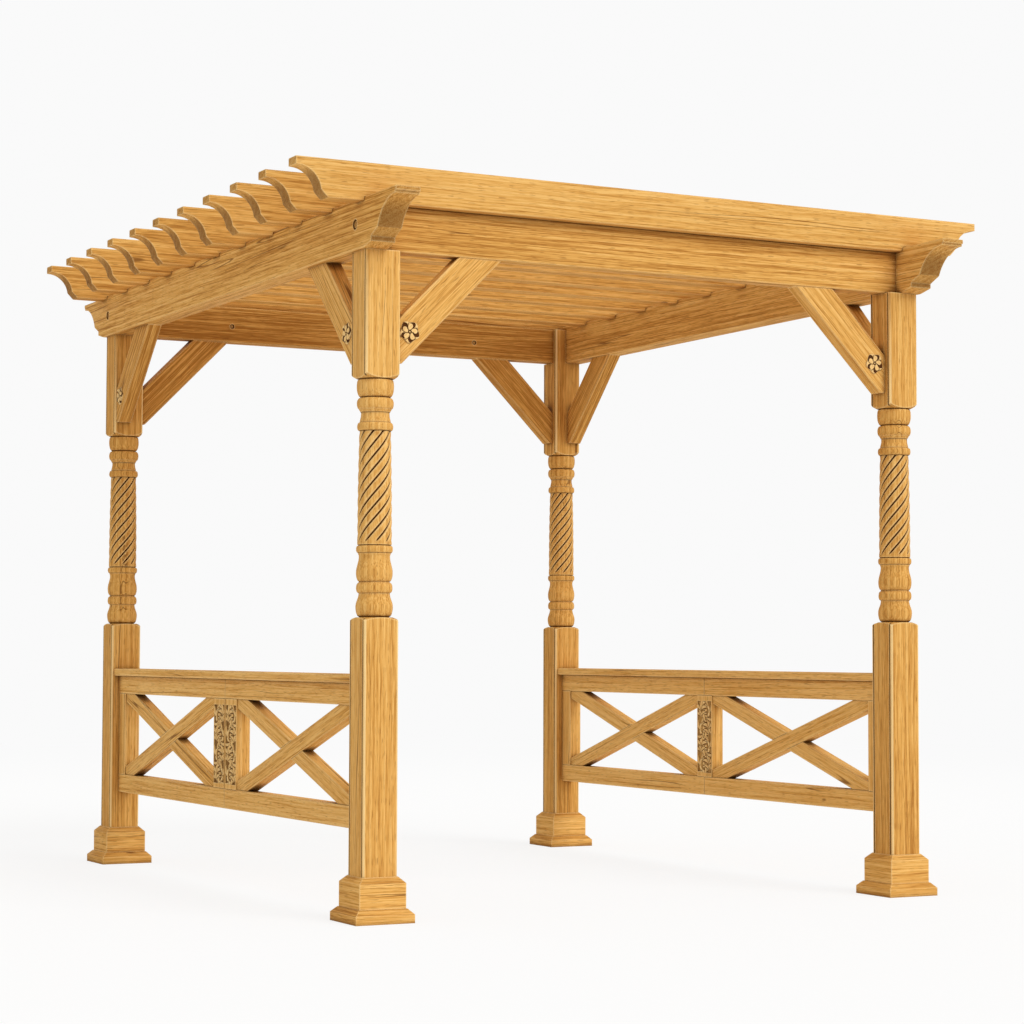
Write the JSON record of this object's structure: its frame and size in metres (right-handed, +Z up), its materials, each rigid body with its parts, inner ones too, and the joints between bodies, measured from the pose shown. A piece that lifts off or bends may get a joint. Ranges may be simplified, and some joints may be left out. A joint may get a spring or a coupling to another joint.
{
  "type": "pergola",
  "caption": "Open timber garden pergola on spiral-turned posts with plinth bases, moulded beams and rafters, knee braces and cross-braced side rails.",
  "frame": {"origin": "on the ground at the middle of the plan", "axes": "+Z up, +X to the right along the rafters, +Y from the open front to the open back along the side beams"},
  "size_m": [3.192, 3.72, 2.893],
  "materials": {
    "post_timber": "honey stain under a thin satin oil",
    "base_timber": "honey stain under a thin satin oil",
    "brace_timber": "honey stain under a thin satin oil",
    "beam_timber": "honey stain under a thin satin oil",
    "rafter_timber": "honey stain under a thin satin oil",
    "rail_timber": "honey stain under a thin satin oil"
  },
  "bodies": {
    "root": {"front_left_post": "post_timber", "front_left_base": "base_timber", "front_left_cross_brace": "brace_timber", "front_left_side_brace": "brace_timber", "front_right_post": "post_timber", "front_right_base": "base_timber", "front_right_cross_brace": "brace_timber", "front_right_side_brace": "brace_timber", "back_left_post": "post_timber", "back_left_base": "base_timber", "back_left_cross_brace": "brace_timber", "back_left_side_brace": "brace_timber", "back_right_post": "post_timber", "back_right_base": "base_timber", "back_right_cross_brace": "brace_timber", "back_right_side_brace": "brace_timber", "left_beam": "beam_timber", "right_beam": "beam_timber", "front_beam": "beam_timber", "back_beam": "beam_timber", "rafter_1": "rafter_timber", "rafter_2": "rafter_timber", "rafter_3": "rafter_timber", "rafter_4": "rafter_timber", "rafter_5": "rafter_timber", "rafter_6": "rafter_timber", "rafter_7": "rafter_timber", "rafter_8": "rafter_timber", "rafter_9": "rafter_timber", "rafter_10": "rafter_timber", "rafter_11": "rafter_timber", "left_rail_cap": "rail_timber", "left_top_rail": "rail_timber", "left_bottom_rail": "rail_timber", "left_end_stiles": "rail_timber", "left_centre_stiles": "rail_timber", "left_diagonals": "rail_timber", "left_half_diagonals": "rail_timber", "right_rail_cap": "rail_timber", "right_top_rail": "rail_timber", "right_bottom_rail": "rail_timber", "right_end_stiles": "rail_timber", "right_centre_stiles": "rail_timber", "right_diagonals": "rail_timber", "right_half_diagonals": "rail_timber"}
  },
  "joints": []
}
